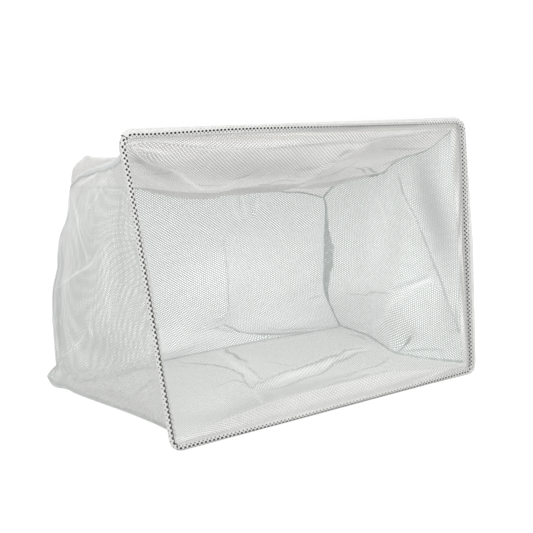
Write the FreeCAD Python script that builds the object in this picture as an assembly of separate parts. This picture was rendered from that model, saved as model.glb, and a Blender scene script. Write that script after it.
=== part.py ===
import FreeCAD, Part
import math
import os

os.makedirs("parts", exist_ok=True)

# Leaf skimmer net: a bent rod frame that stands on its lower bar and leans back,
# with a box-shaped bag of fine net hanging behind it. Millimetres, +Z up, +Y from
# the mouth towards the bag's back. Points below are measured from the middle of the
# lower bar, on the floor. At the end everything moves so that the origin is the
# middle of the footprint.

V = FreeCAD.Vector

# Rod frame
rod_radius = 2.1
foot_width = 380.0  # lower bar, between the side bars' centre lines
head_width = 415.0  # upper bar
slant_height = 268.0
lean_angle = 9.2  # the frame's top leans back
rod_bend = 10.0
weld_x = -4.0  # where the rod's ends meet on the upper bar
weld_gap = 1.2
weld_length = 3.0
weld_proud = 0.07

# Loose sleeve of net round the rod, and the doubled strip behind it
sleeve_inner = 3.3
sleeve_outer = 3.7
sleeve_bend = 12.0
sleeve_shift = 1.1  # the rod lies on the sleeve's floor, and inside it elsewhere
hem_depth = 18.0  # from the sleeve's middle back to the stitched line
hem_thickness = 1.0
hem_slope = {"bottom": 0.03, "top": -0.44, "left": 0.80, "right": 0.30}  # to +X or +Z
stitch_radius = 0.3
stitch_setback = 1.6

# Net panels and the seam allowances that join them
net_thickness = 0.8
panel_margin = 0.9  # from a seam line to a panel's edge
columns = 21
rows = 15
seam_width = 7.0
seam_thickness = 1.2
seam_root = -0.35  # the allowance starts just inside the seam line
seam_taper = 0.15  # share of a seam that runs out to nothing at the mouth
floor_gap = 0.05

# The rod's centre above the floor, with the sleeve's underside just on it
rod_height = sleeve_outer - sleeve_shift * math.cos(math.radians(lean_angle))
round_frame = ["bottom_left", "bottom_right", "top_right", "top_left"]
sides = {
    "bottom": ("bottom_left", "bottom_right"),
    "right": ("bottom_right", "top_right"),
    "top": ("top_right", "top_left"),
    "left": ("top_left", "bottom_left"),
}


def trapezoid(spread, rise):
    """The corners of the frame's outline, spread sideways and raised."""
    half_foot = foot_width / 2 + spread
    half_head = head_width / 2 + spread
    return {
        "bottom_left": V(-half_foot, 0, rise),
        "bottom_right": V(half_foot, 0, rise),
        "top_right": V(half_head, 0, slant_height + rise),
        "top_left": V(-half_head, 0, slant_height + rise),
    }


rod_corners = trapezoid(0.0, 0.0)
sleeve_corners = trapezoid(sleeve_shift, sleeve_shift)


def unit(vector):
    return V(vector) * (1.0 / vector.Length)


def stood(thing):
    """Leans the frame's own plane back and sets the lower bar on the floor."""
    turn = FreeCAD.Rotation(V(1, 0, 0), -lean_angle)
    place = FreeCAD.Placement(V(0, 0, rod_height), turn)
    if isinstance(thing, FreeCAD.Vector):
        return place.multVec(thing)
    moved = thing.copy()
    moved.Placement = place.multiply(moved.Placement)
    return moved


def bend_at(corners, name, radius):
    """The arc that rounds one corner of an outline."""
    index = round_frame.index(name)
    corner = corners[name]
    to_last = unit(corners[round_frame[index - 1]] - corner)
    to_next = unit(corners[round_frame[(index + 1) % 4]] - corner)
    half_angle = to_last.getAngle(to_next) / 2
    inward = unit(to_last + to_next)
    centre = corner + inward * (radius / math.sin(half_angle))
    reach = radius / math.tan(half_angle)
    return {
        "start": corner + to_last * reach,
        "middle": centre - inward * radius,
        "end": corner + to_next * reach,
        "centre": centre,
        "radius": radius,
    }


def arc_between(bend, first, last):
    """Part of a bend, from one of its points to another."""
    halfway = unit((bend[first] - bend["centre"]) + (bend[last] - bend["centre"]))
    return Part.Arc(bend[first], bend["centre"] + halfway * bend["radius"], bend[last]).toShape()


def line_between(start, end):
    return Part.LineSegment(start, end).toShape()


def smooth_line(points):
    """A curve that runs through all of its points."""
    curve = Part.BSplineCurve()
    curve.interpolate(points)
    return curve.toShape()


def point_at(edge, share):
    """The point at a share of a line's length."""
    return edge.valueAt(edge.getParameterByLength(share * edge.Length))


def tube_along(edges, radius):
    """A round solid along a path of tangent lines and arcs."""
    path = Part.Wire(edges)
    first = edges[0]
    start = first.valueAt(first.FirstParameter)
    heading = first.tangentAt(first.FirstParameter)
    ring = Part.Wire([Part.Circle(start, heading, radius).toShape()])
    return path.makePipeShell([ring], True, False)


def make_rod():
    """The rod, from one end at the weld round the frame to the other."""
    here = V(weld_x + weld_gap / 2, 0, slant_height)
    edges = []
    for name in ["top_right", "bottom_right", "bottom_left", "top_left"]:
        bend = bend_at(rod_corners, name, rod_bend)
        edges.append(line_between(here, bend["end"]))
        edges.append(Part.Arc(bend["end"], bend["middle"], bend["start"]).toShape())
        here = bend["start"]
    edges.append(line_between(here, V(weld_x - weld_gap / 2, 0, slant_height)))
    return tube_along(edges, rod_radius)


def make_weld():
    """The weld between the rod's ends, ground almost flush under the sleeve."""
    start = V(weld_x - weld_length / 2, 0, slant_height)
    band = Part.makeCylinder(rod_radius + weld_proud, weld_length, start, V(1, 0, 0))
    for side in (-1, 1):
        near = V(weld_x + side * weld_gap / 2, 0, slant_height)
        band = band.cut(Part.makeCylinder(rod_radius, weld_length, near, V(side, 0, 0)))
    return band


def hem_direction(side):
    """How the doubled strip leaves its bar, for each millimetre towards the bag."""
    if side in ("bottom", "top"):
        return V(0, 1, hem_slope[side])
    return V(hem_slope[side], 1, 0)


def stitch_corner(name):
    """Where two hems' stitched lines meet behind a corner of the frame."""
    level = "top" if "top" in name else "bottom"
    upright = "left" if "left" in name else "right"
    bar = sleeve_corners["top_" + upright] - sleeve_corners["bottom_" + upright]
    back = V(hem_slope[upright], 1, 0) * hem_depth
    return sleeve_corners[name] + back + bar * (hem_slope[level] * hem_depth / bar.z)


def plate(outline, thickness):
    """A flat plate of even thickness, centred on its outline."""
    face = Part.Face(Part.makePolygon(outline + outline[:1]))
    square = face.normalAt(0, 0)
    return face.translated(square * (-thickness / 2)).extrude(square * thickness)


def make_hem(side):
    """A sleeve of net round one bar and half of each bend, with its doubled strip."""
    begin = bend_at(sleeve_corners, sides[side][0], sleeve_bend)
    finish = bend_at(sleeve_corners, sides[side][1], sleeve_bend)
    edges = [
        arc_between(begin, "middle", "end"),
        line_between(begin["end"], finish["start"]),
        arc_between(finish, "start", "middle"),
    ]
    first_stitch = stitch_corner(sides[side][0])
    last_stitch = stitch_corner(sides[side][1])
    gap = unit(last_stitch - first_stitch) * panel_margin
    first_stitch = first_stitch + gap
    last_stitch = last_stitch - gap
    solid = tube_along(edges, sleeve_outer)
    strip = [begin["end"], finish["start"], last_stitch, first_stitch]
    solid = solid.fuse(plate(strip, hem_thickness))
    solid = solid.fuse(plate([begin["middle"] + gap, begin["end"], first_stitch], hem_thickness))
    solid = solid.fuse(plate([finish["middle"] - gap, finish["start"], last_stitch], hem_thickness))
    return solid.cut(tube_along(edges, sleeve_inner)).removeSplitter()


def make_stitch(side):
    """The line of thread that closes a hem, on the face inside the mouth."""
    begin = bend_at(sleeve_corners, sides[side][0], sleeve_bend)
    finish = bend_at(sleeve_corners, sides[side][1], sleeve_bend)
    run = finish["start"] - begin["end"]
    away = unit(hem_direction(side))
    inside = unit(away.cross(run))
    clear = hem_thickness / 2 + stitch_radius + floor_gap
    start = begin["end"] + away * (hem_depth - stitch_setback) + inside * clear
    return Part.makeCylinder(stitch_radius, run.Length, start, run)


# Corners and seam lines of the bag, front to back or left to right
floor = net_thickness / 2
back_corner = {
    "top_left": V(-167, 219, 207),
    "top_right": V(168, 223, 171),
    "bottom_left": V(-187, 234, floor),
    "bottom_right": V(210, 235, floor),
}
seam_points = {
    "top_left": [V(-192, 86, 244), V(-181, 140, 233), V(-174, 185, 221)],
    "top_right": [V(201, 85, 235), V(196, 125, 222), V(189, 142, 206), V(186, 170, 200), V(178, 205, 191)],
    "bottom_left": [V(-167, 52, floor), V(-172, 104, floor), V(-178, 150, floor), V(-185, 198, floor)],
    "bottom_right": [V(190, 56, floor), V(175, 100, floor), V(186, 132, floor), V(203, 180, floor)],
    "back_top": [V(-88, 223, 199), V(0, 224, 188), V(85, 225, 186)],
    "back_bottom": [V(-168, 225, floor), V(-57, 238, floor), V(40, 241, floor), V(120, 240, floor)],
    "back_left": [V(-190, 229, 60), V(-187, 227, 105), V(-178, 224, 156), V(-169, 224, 180)],
    "back_right": [V(186, 227, 31), V(173, 225, 55), V(172, 225, 90), V(173, 224, 150)],
}

# How the slack net hangs between its seams: a sag over the whole panel, and hills that
# are each a height, a middle and a spread as shares across and along the panel
swell_margin = 0.10  # share of a panel over which the swell dies out at a seam
swells = {
    "top": {
        "way": V(0, 0, 1),
        "sag": -29,
        "sharpness": 0.5,
        "hills": [
            (32, (0.09, 0.63), (0.50, 0.35)),  # the lobe at the left seam
            (-22, (0.28, 0.52), (0.15, 0.29)),  # the hollow beside it
            (9.5, (0.72, 0.25), (0.20, 0.30)),  # a fold from the right of the mouth
            (-9.5, (0.56, 0.38), (0.09, 0.35)),  # the net hanging in the middle
            (-13, (0.34, 0.79), (0.18, 0.23)),  # low over the back seam
        ],
    },
    "back": {
        "way": V(0, 1, 0),
        "sag": 19.5,
        "sharpness": 1.2,
        "hills": [
            (-11.5, (0.60, 0.49), (0.11, 0.28)),  # an upright fold
            (-8.5, (0.35, 0.46), (0.40, 0.60)),  # drawn in towards the left
        ],
    },
    "left": {
        "way": V(1, 0, 0),
        "sag": -12,
        "sharpness": 0.95,
        "hills": [
            (4.5, (0.88, -0.10), (0.50, 0.46)),  # drawn in towards the floor
            (2.5, (0.13, 0.21), (0.15, 0.60)),  # and towards the mouth
        ],
    },
    "right": {
        "way": V(1, 0, 0),
        "sag": 16.5,
        "sharpness": 1.3,
        "hills": [
            (-13.5, (0.42, 0.31), (0.35, 0.17)),  # the dent over the lower seam
            (-8, (0.32, 0.73), (0.26, 0.28)),
        ],
    },
}


def seam_ends(name):
    """The two corners that a seam runs between."""
    if name in ("back_top", "back_bottom"):
        level = name.split("_")[1]
        return back_corner[level + "_left"], back_corner[level + "_right"]
    if name.startswith("back"):
        hand = name.split("_")[1]
        return back_corner["bottom_" + hand], back_corner["top_" + hand]
    start = stood(stitch_corner(name))
    if "bottom" in name:
        start.z = floor
    return start, back_corner[name]


def seam_line(name):
    first, last = seam_ends(name)
    return smooth_line([first] + seam_points[name] + [last])


def panel_point(low, high, first, last, across, along):
    """A point of the skin stretched between a panel's four edges."""
    ruled = point_at(low, across) * (1 - along) + point_at(high, across) * along
    crossed = point_at(first, along) * (1 - across) + point_at(last, along) * across
    front = point_at(low, 0) * (1 - across) + point_at(low, 1) * across
    rear = point_at(high, 0) * (1 - across) + point_at(high, 1) * across
    return ruled + crossed - front * (1 - along) - rear * along


def hill(across, along, centre, spread):
    """A smooth local rise of a panel, one at its top."""
    away = ((across - centre[0]) / spread[0]) ** 2 + ((along - centre[1]) / spread[1]) ** 2
    return math.exp(-away)


def edge_fade(across, along):
    """Nothing at a panel's edges, one a little way in."""
    inside = min(across, 1 - across, along, 1 - along)
    return math.sin(min(1.0, inside / swell_margin) * math.pi / 2)


def swell_at(name, across, along):
    """How far a place on a panel hangs from the skin stretched between its seams."""
    swell = swells[name]
    dome = math.sin(math.pi * across) * math.sin(math.pi * along)
    height = swell["sag"] * dome ** swell["sharpness"]
    for rise, centre, spread in swell["hills"]:
        height = height + rise * hill(across, along, centre, spread)
    return swell["way"] * (height * edge_fade(across, along))


def panel_grid(name, low, high, first, last):
    """Rows of points over a panel, held a little inside its seams."""
    edge_u = panel_margin / min(low.Length, high.Length)
    edge_v = panel_margin / min(first.Length, last.Length)
    grid = []
    for j in range(rows):
        along = edge_v + (1 - 2 * edge_v) * j / (rows - 1)
        row = []
        for i in range(columns):
            across = edge_u + (1 - 2 * edge_u) * i / (columns - 1)
            place = panel_point(low, high, first, last, across, along)
            row.append(place + swell_at(name, across, along))
        grid.append(row)
    return grid


def normals_of(grid):
    """The direction square to the skin at each point of a grid."""
    last_row, last_column = len(grid) - 1, len(grid[0]) - 1
    result = []
    for j in range(last_row + 1):
        row = []
        for i in range(last_column + 1):
            across = grid[j][min(i + 1, last_column)] - grid[j][max(i - 1, 0)]
            along = grid[min(j + 1, last_row)][i] - grid[max(j - 1, 0)][i]
            row.append(unit(across.cross(along)))
        result.append(row)
    return result


def skin_solid(grid, thickness):
    """A closed solid of even thickness round a smooth skin through a grid of points."""
    normals = normals_of(grid)
    faces = []
    for side in (-0.5, 0.5):
        points = [
            [point + normal * (side * thickness) for point, normal in zip(row, normal_row)]
            for row, normal_row in zip(grid, normals)
        ]
        surface = Part.BSplineSurface()
        surface.interpolate(points)
        faces.append(surface.toShape())
    rims = [Part.makeRuledSurface(a, b) for a, b in zip(faces[0].Edges, faces[1].Edges)]
    solid = Part.Solid(Part.Shell(faces + rims))
    if solid.Volume < 0:
        solid.reverse()
    return solid


def make_panel(name):
    """One of the bag's four standing or hanging panels of net."""
    if name == "top":
        low = line_between(stood(stitch_corner("top_left")), stood(stitch_corner("top_right")))
        edges = [low, seam_line("back_top"), seam_line("top_left"), seam_line("top_right")]
    elif name == "back":
        edges = [seam_line("back_" + edge) for edge in ("bottom", "top", "left", "right")]
    else:
        foot = seam_ends("bottom_" + name)[0]
        front = line_between(foot, stood(stitch_corner("top_" + name)))
        edges = [seam_line("bottom_" + name), seam_line("top_" + name), front, seam_line("back_" + name)]
    return skin_solid(panel_grid(name, *edges), net_thickness)


def make_floor_panel():
    """The panel that lies on the floor, flat underneath."""
    inset = V(panel_margin, 0, 0)
    back = V(0, panel_margin, 0)
    left_front, left_rear = seam_ends("bottom_left")
    right_front, right_rear = seam_ends("bottom_right")
    corner_a = left_front + inset + back
    corner_b = right_front - inset + back
    corner_c = right_rear - inset - back
    corner_d = left_rear + inset - back
    outline = [
        line_between(corner_a, corner_b),
        smooth_line([corner_b] + [p - inset for p in seam_points["bottom_right"]] + [corner_c]),
        smooth_line([corner_d] + [p - back for p in seam_points["back_bottom"]] + [corner_c]),
        smooth_line([corner_a] + [p + inset for p in seam_points["bottom_left"]] + [corner_d]),
    ]
    face = Part.Face(Part.Wire(Part.__sortEdges__(outline)))
    return face.translated(V(0, 0, -floor)).extrude(V(0, 0, net_thickness))


# The way each seam's allowance points, out of the bag
seam_out = {
    "top_left": V(-0.5, 0, 0.9),
    "top_right": V(0.7, 0, 0.7),
    "bottom_left": V(-1, 0, 0),
    "bottom_right": V(1, 0, 0),
    "back_top": V(0, 0.6, 0.8),
    "back_bottom": V(0, 1, 0),
    "back_left": V(-0.6, 0.8, 0),
    "back_right": V(0.7, 0.7, 0),
}


def make_seam(name):
    """The sewn edges of two panels, standing out as a narrow flap along their seam."""
    line = seam_line(name)
    away = unit(seam_out[name])
    lift = V(0, 0, 0)
    if "bottom" in name:
        lift.z = seam_thickness / 2 + floor_gap - floor
    end = 1.5 * panel_margin / line.Length
    shares = [end + (1 - 2 * end) * i / (columns - 1) for i in range(columns)]
    grid = []
    for part_way in (0, 0.5, 1):
        row = []
        for share in shares:
            full = 1 if name.startswith("back") else min(1, 0.2 + share / seam_taper)
            reach = seam_root + (seam_width - seam_root) * part_way * full
            row.append(point_at(line, share) + away * reach + lift)
        grid.append(row)
    return skin_solid(grid, seam_thickness)


pieces = {"frame_rod": stood(make_rod()), "butt_weld": stood(make_weld())}
for side in sides:
    pieces["hem_" + side] = stood(make_hem(side))
    pieces["hem_stitch_" + side] = stood(make_stitch(side))
for name in swells:
    pieces["net_" + name] = make_panel(name)
pieces["net_bottom"] = make_floor_panel()
for name in seam_points:
    pieces["seam_" + name] = make_seam(name)

whole = Part.makeCompound(list(pieces.values())).optimalBoundingBox(False)
to_origin = V(-whole.Center.x, -whole.Center.y, -whole.ZMin)
print("size", round(whole.XLength, 1), round(whole.YLength, 1), round(whole.ZLength, 1))
print("moved by", round(to_origin.x, 2), round(to_origin.y, 2), round(to_origin.z, 2))
for name, shape in pieces.items():
    shape.translate(to_origin)
    sound = shape.isValid() and len(shape.Solids) == 1
    print(f"{name:20s} sound {sound}  volume {shape.Volume:9.1f}")
    shape.exportStep(f"parts/{name}.step")
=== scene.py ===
import math

import bpy
import numpy as np
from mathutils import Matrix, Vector


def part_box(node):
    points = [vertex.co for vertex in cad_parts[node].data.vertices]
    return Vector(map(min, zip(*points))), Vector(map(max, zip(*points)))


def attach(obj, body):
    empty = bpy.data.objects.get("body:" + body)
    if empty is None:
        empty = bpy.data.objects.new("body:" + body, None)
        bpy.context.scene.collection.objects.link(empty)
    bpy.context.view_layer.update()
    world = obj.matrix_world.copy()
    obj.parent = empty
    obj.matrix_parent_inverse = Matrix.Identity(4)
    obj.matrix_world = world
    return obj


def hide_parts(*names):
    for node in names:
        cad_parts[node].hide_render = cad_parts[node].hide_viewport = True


# Leaf skimmer net: a steel rod frame in the hem of a sagging bag of fine net.
# Points are in millimetres from the middle of the lower bar, on the floor:
# x to the right, y from the mouth to the back of the bag, z up.
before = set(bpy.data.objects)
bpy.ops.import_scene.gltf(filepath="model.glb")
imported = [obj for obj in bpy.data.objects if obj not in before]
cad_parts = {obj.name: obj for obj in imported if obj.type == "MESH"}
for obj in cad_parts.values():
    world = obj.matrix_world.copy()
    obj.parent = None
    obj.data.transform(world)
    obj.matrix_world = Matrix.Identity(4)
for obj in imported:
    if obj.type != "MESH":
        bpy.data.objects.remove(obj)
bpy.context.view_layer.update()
rodLow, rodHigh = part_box("frame_rod")
rodShape = {"radius": 2.1, "foot": 380.0, "head": 415.0, "slant": 268.0, "lean": 9.2, "height": 2.614}
origin = np.array([(rodLow[0] + rodHigh[0]) / 2, rodLow[1] + rodShape["radius"] / 1000, 0.0])
print("frame loaded")


def inRow(points):
    return origin + np.asarray(points, float) / 1000


# Camera, floor and light

photoView = {"azimuth": -37.7, "elevation": 11.0, "distance": 884.6, "target": (-90, 0, 150), "lens": 67.54}


def makeCamera():
    turn, lift = math.radians(photoView["azimuth"]), math.radians(photoView["elevation"])
    back = Vector((math.sin(turn) * math.cos(lift), -math.cos(turn) * math.cos(lift), math.sin(lift)))
    data = bpy.data.cameras.new("photoCamera")
    data.lens = photoView["lens"]
    data.clip_start = 0.01
    camera = bpy.data.objects.new("photoCamera", data)
    camera.location = Vector(inRow(photoView["target"])) + back * photoView["distance"] / 1000
    camera.rotation_mode = "QUATERNION"
    camera.rotation_quaternion = (-back).to_track_quat("-Z", "Y")
    bpy.context.scene.collection.objects.link(camera)
    bpy.context.scene.camera = camera


class Wire:
    # one socket, so that sums on it read as plain arithmetic
    def __init__(self, shader, socket):
        self.shader, self.socket = shader, socket

    def maths(self, operation, first, second=None):
        inputs = {0: first} if second is None else {0: first, 1: second}
        return self.shader.add("ShaderNodeMath", {"operation": operation}, inputs)

    def __add__(self, other):
        return self.maths("ADD", self, other)

    def __sub__(self, other):
        return self.maths("SUBTRACT", self, other)

    def __rsub__(self, other):
        return self.maths("SUBTRACT", other, self)

    def __mul__(self, other):
        return self.maths("MULTIPLY", self, other)

    __radd__ = __add__
    __rmul__ = __mul__

    def cosine(self):
        return self.maths("COSINE", self)


class Shader:
    # a node tree under construction
    def __init__(self, owner):
        owner.use_nodes = True
        self.nodes, self.links = owner.node_tree.nodes, owner.node_tree.links
        self.nodes.clear()

    def add(self, kind, settings=None, inputs=None, output=0):
        node = self.nodes.new(kind)
        for name, value in (settings or {}).items():
            if name == "stops":
                for stop, (place, colour) in zip(node.color_ramp.elements, value):
                    stop.position, stop.color = place, colour
            else:
                setattr(node, name, value)
        for name, value in (inputs or {}).items():
            if isinstance(value, Wire):
                self.links.new(value.socket, node.inputs[name])
            else:
                node.inputs[name].default_value = value
        return Wire(self, node.outputs[output]) if len(node.outputs) else node

    def blend(self, factor, first, second, way="MIX"):
        settings = {"data_type": "RGBA", "blend_type": way}
        return self.add("ShaderNodeMix", settings, {"Factor": factor, 6: first, 7: second}, 2)


studio = {
    "sky": 0.62, "seenSky": 1.0, "floor": 0.85, "seenFloor": 0.80, "seenShare": 0.5,
    "floorSize": 8.0, "floorDrop": 0.0004, "lampsAim": (0, 100, 120), "layersSeen": 40,
}
lamps = {
    "keyLamp": {"at": (-900, -1100, 1300), "size": 1.2, "watts": 17},
    "sideLamp": {"at": (1300, -500, 900), "size": 1.2, "watts": 8},
    "backLamp": {"at": (-200, 1300, 1400), "size": 1.4, "watts": 9},
}


def seenDirectly(shader):
    # one where the camera, a reflection or glass looks, nothing for the light that falls on the object
    camera, glossy, through = (
        shader.add("ShaderNodeLightPath", output=name)
        for name in ("Is Camera Ray", "Is Glossy Ray", "Is Transmission Ray")
    )
    return camera.maths("MAXIMUM", camera.maths("MAXIMUM", camera, glossy), through)


def makeStudio():
    world = bpy.data.worlds.new("studioSky")
    bpy.context.scene.world = world
    shader = Shader(world)
    seen = seenDirectly(shader)
    strength = seen * (studio["seenSky"] - studio["sky"]) + studio["sky"]
    sky = shader.add("ShaderNodeBackground", {}, {"Color": (1, 1, 1, 1), "Strength": strength})
    shader.add("ShaderNodeOutputWorld", {}, {"Surface": sky})

    half = studio["floorSize"] / 2
    mesh = bpy.data.meshes.new("floorPlane")
    mesh.from_pydata([(-half, -half, 0), (half, -half, 0), (half, half, 0), (-half, half, 0)], [], [(0, 1, 2, 3)])
    floor = bpy.data.objects.new("floorPlane", mesh)
    floor.location.z = -studio["floorDrop"]
    bpy.context.scene.collection.objects.link(floor)
    material = bpy.data.materials.new("paleFloor")
    shader = Shader(material)
    seen = seenDirectly(shader)
    matt = shader.add("ShaderNodeBsdfDiffuse", {}, {"Color": (studio["floor"],) * 3 + (1,)})
    seenMatt = shader.add("ShaderNodeBsdfDiffuse", {}, {"Color": (studio["floor"] * studio["seenShare"],) * 3 + (1,)})
    glow = shader.add("ShaderNodeEmission", {}, {"Color": (1, 1, 1, 1), "Strength": studio["seenFloor"]})
    lifted = shader.add("ShaderNodeAddShader", {}, {0: seenMatt, 1: glow})
    surface = shader.add("ShaderNodeMixShader", {}, {0: seen, 1: matt, 2: lifted})
    shader.add("ShaderNodeOutputMaterial", {}, {"Surface": surface})
    mesh.materials.append(material)

    for name, lamp in lamps.items():
        data = bpy.data.lights.new(name, "AREA")
        data.size, data.energy = lamp["size"], lamp["watts"]
        light = bpy.data.objects.new(name, data)
        light.location = inRow(lamp["at"])
        aim = Vector(inRow(studio["lampsAim"])) - light.location
        light.rotation_mode = "QUATERNION"
        light.rotation_quaternion = aim.to_track_quat("-Z", "Y")
        bpy.context.scene.collection.objects.link(light)


makeCamera()
makeStudio()
scene = bpy.context.scene
scene.view_settings.view_transform = "Standard"
scene.cycles.transparent_max_bounces = studio["layersSeen"]  # the view passes through many layers of net
print("camera, floor and lamps made")


# Materials

# In each weave, light and dark are the colours of the painted highlight and the painted shade
weaves = {
    "openNet": {
        "cool": (0.60, 0.645, 0.63), "warm": (0.67, 0.65, 0.635), "light": (0.90, 0.91, 0.91),
        "dark": (0.40, 0.41, 0.41), "rough": 0.42, "wide": 4.4, "tall": 2.5, "hole": 0.30,
        "soft": 0.26, "crowded": 0.8, "thread": 0.97,
    },
    "hemNet": {
        "cool": (0.65, 0.665, 0.655), "warm": (0.67, 0.65, 0.63), "light": (0.90, 0.865, 0.82),
        "dark": (0.42, 0.43, 0.43), "rough": 0.42, "wide": 4.0, "tall": 4.3, "hole": 0.22,
        "soft": 0.10, "crowded": 0.0, "thread": 1.0,
    },
    "seamNet": {
        "cool": (0.62, 0.645, 0.635), "warm": (0.65, 0.65, 0.64), "light": (0.88, 0.89, 0.89),
        "dark": (0.40, 0.41, 0.41), "rough": 0.5, "wide": 3.6, "tall": 2.9, "hole": 0.40,
        "soft": 0.2, "crowded": 0.4, "thread": 0.9,
    },
}
netLook = {
    "driftScale": 45.0, "driftAcross": 0.6, "driftAlong": 0.5, "closing": 0.9,
    "mottleScale": 160.0, "mottleStops": [(0.35, (0.95, 0.95, 0.94, 1)), (0.65, (1.04, 1.04, 1.05, 1))],
    "mottleRough": 0.2, "bump": 0.25, "bumpDepth": 0.0003, "gloss": 0.35, "sheen": 0.15, "sheenRough": 0.4,
}


def netMaterial(name):
    values = weaves[name]
    material = bpy.data.materials.new(name)
    shader = Shader(material)
    weave = shader.add("ShaderNodeUVMap", {"uv_map": "weave"})
    drift = shader.add("ShaderNodeTexNoise", {}, {"Vector": weave, "Scale": netLook["driftScale"], "Detail": 1.0})
    # threads wander a little, so the rows of holes are never quite straight
    across = shader.add("ShaderNodeSeparateXYZ", {}, {0: weave}, "X") * 1000 + drift * netLook["driftAcross"]
    along = shader.add("ShaderNodeSeparateXYZ", {}, {0: weave}, "Y") * 1000 + drift * netLook["driftAlong"]
    columns = (across * (2 * math.pi / values["wide"])).cosine()
    lattice = columns * (along * (2 * math.pi / values["tall"])).cosine()
    # threads crowd together along a crease and open where the net is taut
    closed = shader.add("ShaderNodeAttribute", {"attribute_name": "closed"}, output="Fac")
    # painted light and shade from the folds, gathers, hems and seams: above nothing lighter, below darker
    paintedShading = shader.add("ShaderNodeAttribute", {"attribute_name": "paintedShading"}, output="Fac")
    soft = closed.maths("MAXIMUM", closed, 0.0) * values["crowded"] + values["soft"]
    cover = shader.add("ShaderNodeMapRange", {"interpolation_type": "SMOOTHSTEP"}, {
        "Value": lattice - closed * netLook["closing"],
        "From Min": values["hole"] - soft, "From Max": soft + values["hole"],
        "To Min": values["thread"], "To Max": 0.0,
    })
    mottle = shader.add("ShaderNodeTexNoise", {}, {"Vector": weave, "Scale": netLook["mottleScale"], "Detail": 3.0})
    uneven = shader.add("ShaderNodeValToRGB", {"stops": netLook["mottleStops"]}, {"Fac": mottle})
    warm = shader.add("ShaderNodeAttribute", {"attribute_name": "warm"}, output="Fac")
    plain = shader.blend(warm, values["cool"] + (1,), values["warm"] + (1,))
    tint = shader.blend(1.0, plain, uneven, "MULTIPLY")
    # painted highlight towards the light colour, then painted shade towards the dark colour
    paintedHighlight = shader.blend(paintedShading, tint, values["light"] + (1,))
    paintedShadingColour = shader.blend(0 - paintedShading, paintedHighlight, values["dark"] + (1,))
    rough = mottle * netLook["mottleRough"] + (values["rough"] - netLook["mottleRough"] / 2)
    raised = shader.add("ShaderNodeBump", {}, {
        "Height": 1 - lattice, "Strength": netLook["bump"], "Distance": netLook["bumpDepth"],
    })
    surface = shader.add("ShaderNodeBsdfPrincipled", {}, {
        "Base Color": paintedShadingColour, "Roughness": rough, "Alpha": cover, "Normal": raised,
        "Specular IOR Level": netLook["gloss"],
        "Sheen Weight": netLook["sheen"], "Sheen Roughness": netLook["sheenRough"],
    })
    shader.add("ShaderNodeOutputMaterial", {}, {"Surface": surface})
    return material


# The rod steel's near-black colours are painted shade: they stand in for the dark reflections and the shade inside the
# net sleeve
metals = {
    "rodSteel": {"dark": (0.05, 0.05, 0.045), "bright": (0.13, 0.125, 0.12), "rough": 0.30},
    "weldSteel": {"dark": (0.03, 0.03, 0.028), "bright": (0.09, 0.085, 0.08), "rough": 0.48},
}
metalLook = {
    "grimeScale": 220.0, "grimeFrom": 0.38, "grimeTo": 0.66, "grimeRough": 0.25, "polish": 0.1,
    "marksScale": 1400.0, "marks": 0.15, "marksDeep": 0.0001,
}


def steelMaterial(name):
    values = metals[name]
    material = bpy.data.materials.new(name)
    shader = Shader(material)
    place = shader.add("ShaderNodeTexCoord", output="Object")
    # drawing marks and a little grime
    grime = shader.add("ShaderNodeTexNoise", {}, {
        "Vector": place, "Scale": metalLook["grimeScale"], "Detail": 4.0, "Roughness": 0.6,
    })
    marks = shader.add("ShaderNodeTexNoise", {}, {"Vector": place, "Scale": metalLook["marksScale"], "Detail": 2.0})
    tint = shader.add("ShaderNodeValToRGB", {"stops": [
        (metalLook["grimeFrom"], values["dark"] + (1,)), (metalLook["grimeTo"], values["bright"] + (1,)),
    ]}, {"Fac": grime})
    rough = grime * metalLook["grimeRough"] + (values["rough"] - metalLook["polish"])
    raised = shader.add("ShaderNodeBump", {}, {
        "Height": marks, "Strength": metalLook["marks"], "Distance": metalLook["marksDeep"],
    })
    surface = shader.add("ShaderNodeBsdfPrincipled", {}, {
        "Base Color": tint, "Metallic": 1.0, "Roughness": rough, "Normal": raised,
    })
    shader.add("ShaderNodeOutputMaterial", {}, {"Surface": surface})
    return material


sewing = {
    "colour": (0.80, 0.81, 0.80), "shade": 0.85, "rough": 0.45, "sheen": 0.2,
    "twist": 160.0, "twistHigh": 0.3, "twistDeep": 0.0001,
}


def threadMaterial():
    material = bpy.data.materials.new("sewingThread")
    shader = Shader(material)
    place = shader.add("ShaderNodeTexCoord", output="Object")
    twist = shader.add("ShaderNodeTexWave", {"bands_direction": "DIAGONAL"}, {
        "Vector": place, "Scale": sewing["twist"], "Distortion": 1.0,
    })
    shaded = tuple(part * sewing["shade"] for part in sewing["colour"])
    tint = shader.add("ShaderNodeValToRGB", {"stops": [
        (0.2, shaded + (1,)), (0.8, sewing["colour"] + (1,)),
    ]}, {"Fac": twist})
    raised = shader.add("ShaderNodeBump", {}, {
        "Height": twist, "Strength": sewing["twistHigh"], "Distance": sewing["twistDeep"],
    })
    surface = shader.add("ShaderNodeBsdfPrincipled", {}, {
        "Base Color": tint, "Roughness": sewing["rough"], "Normal": raised, "Sheen Weight": sewing["sheen"],
    })
    shader.add("ShaderNodeOutputMaterial", {}, {"Surface": surface})
    return material


openNet, hemNet, seamNet = netMaterial("openNet"), netMaterial("hemNet"), netMaterial("seamNet")
rodSteel, weldSteel, sewingThread = steelMaterial("rodSteel"), steelMaterial("weldSteel"), threadMaterial()
print("materials made")


# Shaping helpers

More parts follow.
